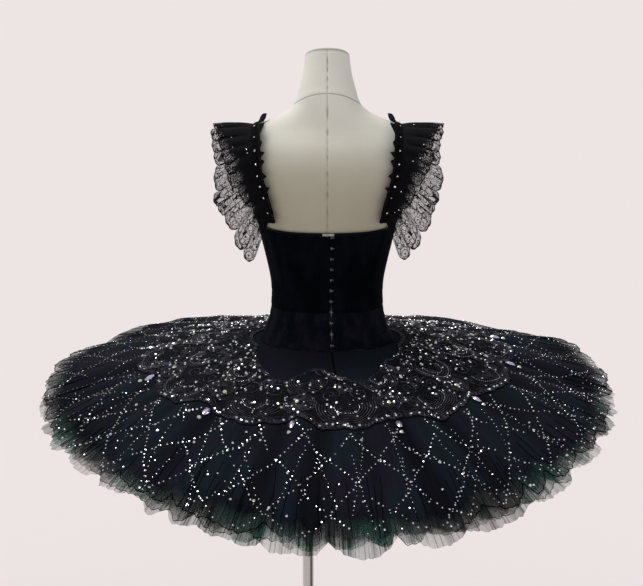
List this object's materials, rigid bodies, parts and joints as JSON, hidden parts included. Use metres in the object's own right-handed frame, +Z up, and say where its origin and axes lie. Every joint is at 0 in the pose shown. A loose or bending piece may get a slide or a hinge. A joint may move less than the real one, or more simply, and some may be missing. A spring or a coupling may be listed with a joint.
{
  "type": "ballet tutu on a dress form",
  "caption": "Black classical pancake tutu with hooked back, lace frill straps and a crystal-set net skirt, on a limbless cream dress form with a round-based stand.",
  "frame": {"origin": "on the floor, under the middle axis of the body, which is the middle of the skirt's outer edge", "axes": "+Z up along the body; -Y is the front of the body and +Y its hooked back; +X is the wearer's left"},
  "size_m": [1.078, 1.078, 1.4924],
  "materials": {
    "form_cover": "smooth cream cotton stretched over the form, slight sheen",
    "stand_metal": "bright tube, a little tarnished",
    "base_metal": "satin pressed plate",
    "bodice_velvet": "black velvet with a blue cast, matt",
    "basque_velvet": "brushed black velvet, soft nap",
    "binding_satin": "black satin binding, soft sheen",
    "strap_elastic": "black elastic, matt",
    "lace_black": "black corded lace, partly open",
    "net_black": "black stiff net, see-through",
    "tulle_dark": "black and deep green tulle, see-through at the edge",
    "knicker_stretch": "black stretch cloth, matt",
    "hook_metal": "small bright hooks",
    "tape_white": "white cotton tape",
    "crystal": "foil-backed cut crystal",
    "bead": "glossy black beads"
  },
  "bodies": {
    "root": {"basque_back_left": "basque_velvet", "basque_back_right": "basque_velvet", "basque_front": "basque_velvet", "bodice_back_left": "bodice_velvet", "bodice_back_right": "bodice_velvet", "bodice_front": "bodice_velvet", "bodice_side_back_left": "bodice_velvet", "bodice_side_back_right": "bodice_velvet", "bodice_side_front_left": "bodice_velvet", "bodice_side_front_right": "bodice_velvet", "form_neck_cap": "form_cover", "form_torso": "form_cover", "frill_heading_left": "lace_black", "frill_heading_right": "lace_black", "frill_wide_left": "lace_black", "frill_wide_right": "lace_black", "hook_01": "hook_metal", "hook_02": "hook_metal", "hook_03": "hook_metal", "hook_04": "hook_metal", "hook_05": "hook_metal", "hook_06": "hook_metal", "hook_07": "hook_metal", "hook_08": "hook_metal", "hook_09": "hook_metal", "hook_10": "hook_metal", "hook_11": "hook_metal", "hook_tape_end": "tape_white", "knickers": "knicker_stretch", "lace_plate": "lace_black", "net_overlay": "net_black", "stand_base": "base_metal", "stand_pole": "stand_metal", "strap_left": "strap_elastic", "strap_right": "strap_elastic", "top_binding": "binding_satin", "tulle_lowest": "tulle_dark", "tulle_second": "tulle_dark", "tulle_third": "tulle_dark", "tulle_upper": "tulle_dark"}
  },
  "joints": []
}
